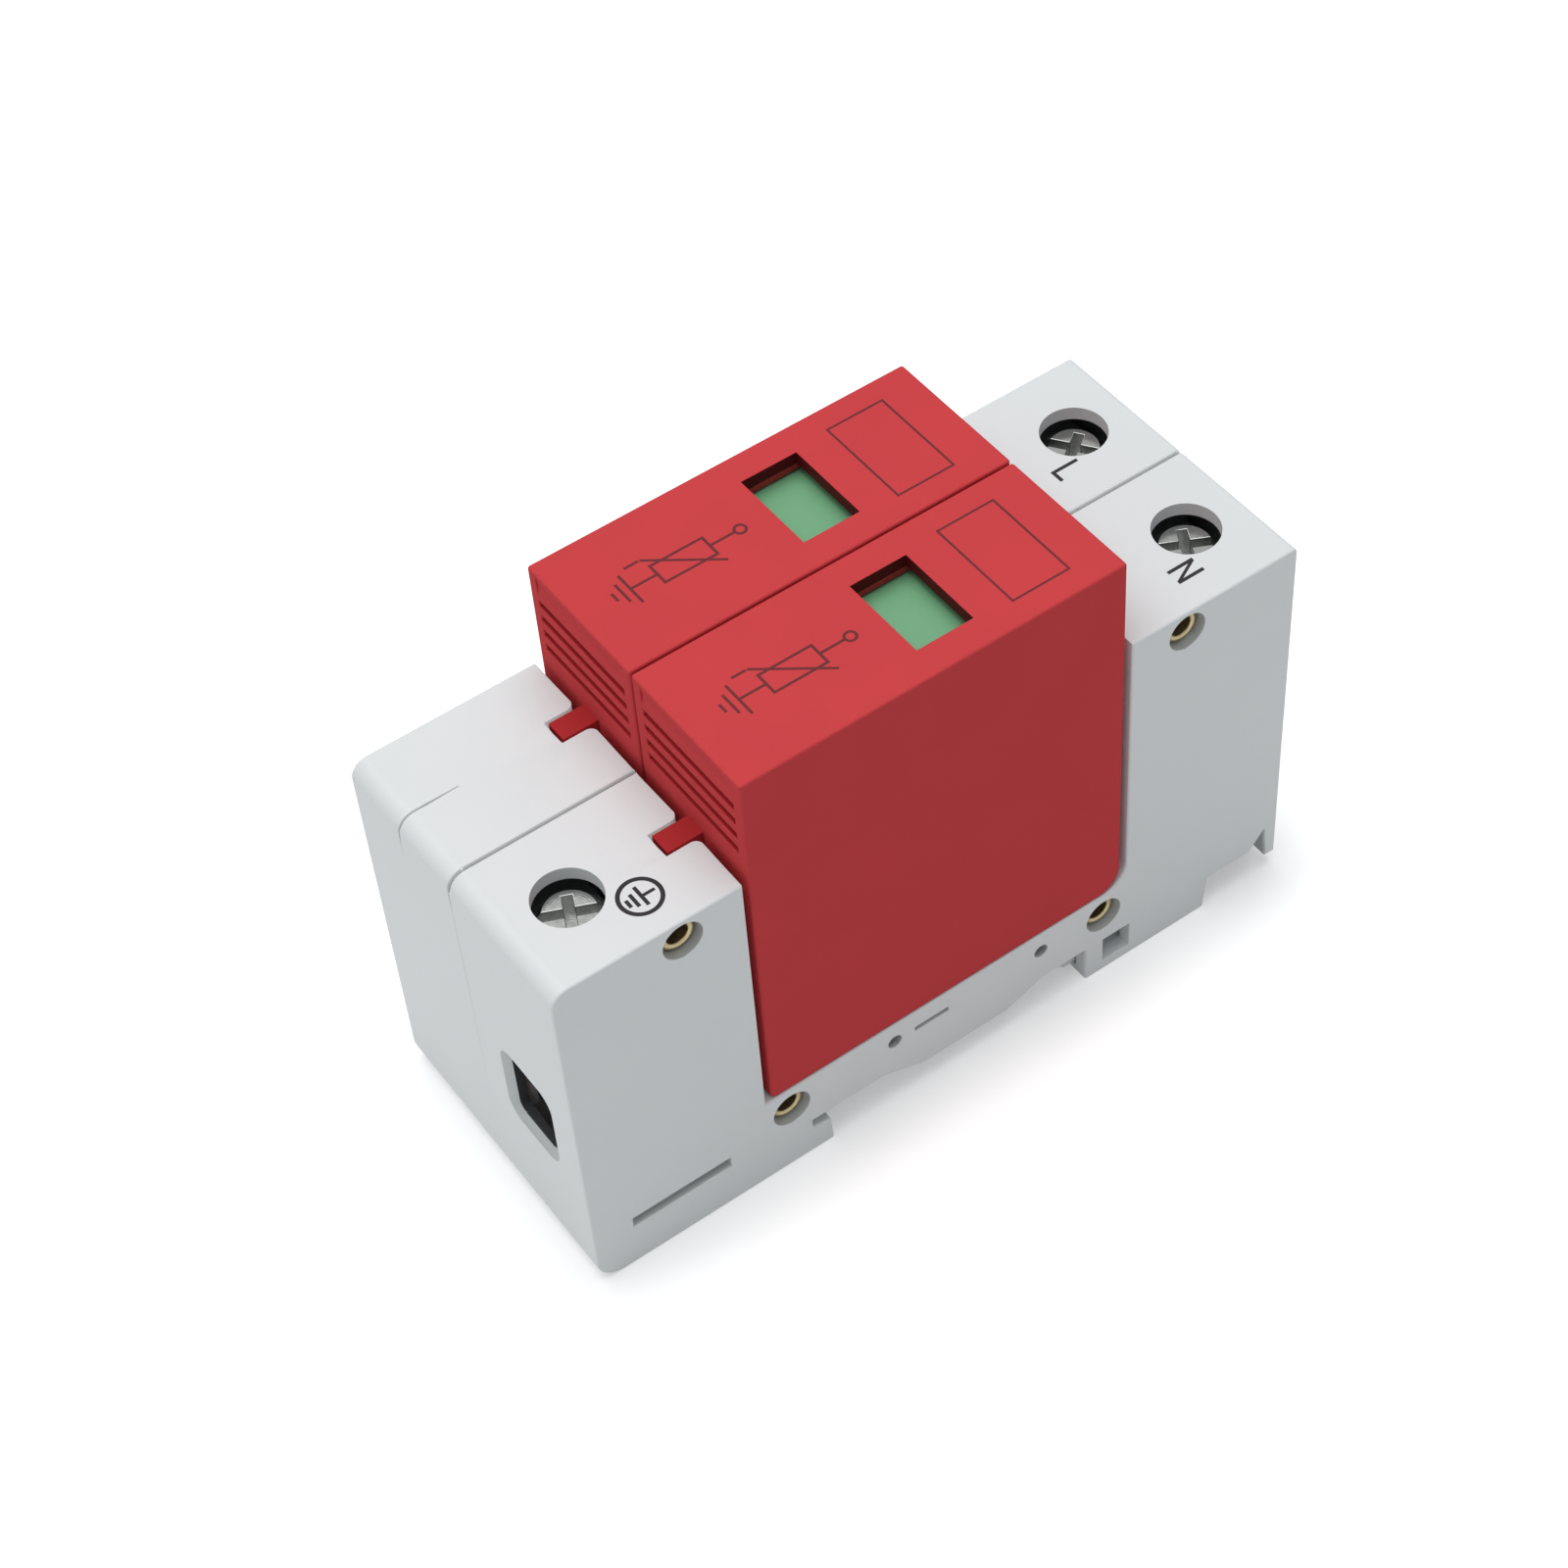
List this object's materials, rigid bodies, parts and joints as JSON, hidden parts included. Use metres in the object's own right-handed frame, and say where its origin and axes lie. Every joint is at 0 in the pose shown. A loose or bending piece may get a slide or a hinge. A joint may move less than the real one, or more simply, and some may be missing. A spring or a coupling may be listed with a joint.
{
  "type": "din rail surge arrester",
  "caption": "Grey rail-mounted housing with screw terminals at both ends and red plug-in surge modules, each with a green window, between raised shoulders.",
  "frame": {"origin": "on the surface that the feet stand on, under the middle of the housing", "axes": "+X along the rail towards the N pole, +Y from the earth end to the line end, +Z away from the rail"},
  "size_m": [0.036, 0.0892, 0.0611],
  "materials": {
    "grey_plastic": "fine matt moulding",
    "red_plastic": "satin moulding",
    "green_plastic": "satin",
    "blue_coating": "dipped epoxy",
    "steel": "zinc plated",
    "brass": "rolled, bright",
    "copper": "stamped copper"
  },
  "bodies": {
    "base": {"shell_l_outer": "grey_plastic", "shell_l_inner": "grey_plastic", "shell_n_inner": "grey_plastic", "shell_n_outer": "grey_plastic", "rivets": "brass", "contact_l": "copper", "contact_n": "copper", "earth_bar": "copper"},
    "screw_l_body": {"screw_l": "steel"},
    "cage_l_body": {"cage_l": "steel"},
    "screw_n_body": {"screw_n": "steel"},
    "cage_n_body": {"cage_n": "steel"},
    "screw_pe_body": {"screw_pe": "steel"},
    "cage_pe_body": {"cage_pe": "steel"},
    "rail_clip_l_body": {"rail_clip_l": "grey_plastic"},
    "module_l": {"cap_l": "red_plastic", "plug_base_l": "red_plastic", "varistor_l": "blue_coating", "solder_tab_l": "copper", "earth_blade_l": "copper", "line_blade_l": "copper"},
    "trip_arm_l_body": {"trip_arm_l": "copper"},
    "flag_l_body": {"flag_l": "green_plastic"},
    "rail_clip_n_body": {"rail_clip_n": "grey_plastic"},
    "module_n": {"cap_n": "red_plastic", "plug_base_n": "red_plastic", "varistor_n": "blue_coating", "solder_tab_n": "copper", "earth_blade_n": "copper", "line_blade_n": "copper"},
    "trip_arm_n_body": {"trip_arm_n": "copper"},
    "flag_n_body": {"flag_n": "green_plastic"}
  },
  "joints": [
    {"name": "screw_l_turn", "type": "hinge", "parent": "base", "child": "screw_l_body", "pos_m": [-0.009, 0.0377, 0.04], "axis": [0, 0, -1], "range_deg": [0, 2160]},
    {"name": "cage_l_lift", "type": "slide", "parent": "base", "child": "cage_l_body", "axis": [0, 0, 1], "range_m": [0, 0.0048]},
    {"name": "screw_n_turn", "type": "hinge", "parent": "base", "child": "screw_n_body", "pos_m": [0.009, 0.0377, 0.04], "axis": [0, 0, -1], "range_deg": [0, 2160]},
    {"name": "cage_n_lift", "type": "slide", "parent": "base", "child": "cage_n_body", "axis": [0, 0, 1], "range_m": [0, 0.0048]},
    {"name": "screw_pe_turn", "type": "hinge", "parent": "base", "child": "screw_pe_body", "pos_m": [0.009, -0.0368, 0.04], "axis": [0, 0, -1], "range_deg": [0, 2160]},
    {"name": "cage_pe_lift", "type": "slide", "parent": "base", "child": "cage_pe_body", "axis": [0, 0, 1], "range_m": [0, 0.0048]},
    {"name": "rail_clip_l_pull", "type": "slide", "parent": "base", "child": "rail_clip_l_body", "axis": [0, 1, 0], "range_m": [0, 0.004], "stiffness_N_per_m": 600},
    {"name": "module_l_lift", "type": "slide", "parent": "base", "child": "module_l", "axis": [0, 0, 1], "range_m": [0, 0.045]},
    {"name": "trip_arm_l_swing", "type": "hinge", "parent": "module_l", "child": "trip_arm_l_body", "pos_m": [-0.009, 0.0094, 0.01705], "axis": [-1, 0, 0], "range_deg": [0, 10.5], "stiffness_Nm_per_rad": 0.001},
    {"name": "flag_l_slide", "type": "slide", "parent": "module_l", "child": "flag_l_body", "axis": [0, 1, 0], "range_m": [0, 0.00688]},
    {"name": "rail_clip_n_pull", "type": "slide", "parent": "base", "child": "rail_clip_n_body", "axis": [0, 1, 0], "range_m": [0, 0.004], "stiffness_N_per_m": 600},
    {"name": "module_n_lift", "type": "slide", "parent": "base", "child": "module_n", "axis": [0, 0, 1], "range_m": [0, 0.045]},
    {"name": "trip_arm_n_swing", "type": "hinge", "parent": "module_n", "child": "trip_arm_n_body", "pos_m": [0.009, 0.0094, 0.01705], "axis": [-1, 0, 0], "range_deg": [0, 10.5], "stiffness_Nm_per_rad": 0.001},
    {"name": "flag_n_slide", "type": "slide", "parent": "module_n", "child": "flag_n_body", "axis": [0, 1, 0], "range_m": [0, 0.00688]}
  ],
  "couplings": [
    {"joint": "screw_l_turn", "follows": "cage_l_lift", "rad_per_m": 7854},
    {"joint": "screw_n_turn", "follows": "cage_n_lift", "rad_per_m": 7854},
    {"joint": "screw_pe_turn", "follows": "cage_pe_lift", "rad_per_m": 7854},
    {"joint": "trip_arm_l_swing", "follows": "flag_l_slide", "rad_per_m": 26.51},
    {"joint": "trip_arm_n_swing", "follows": "flag_n_slide", "rad_per_m": 26.51}
  ]
}
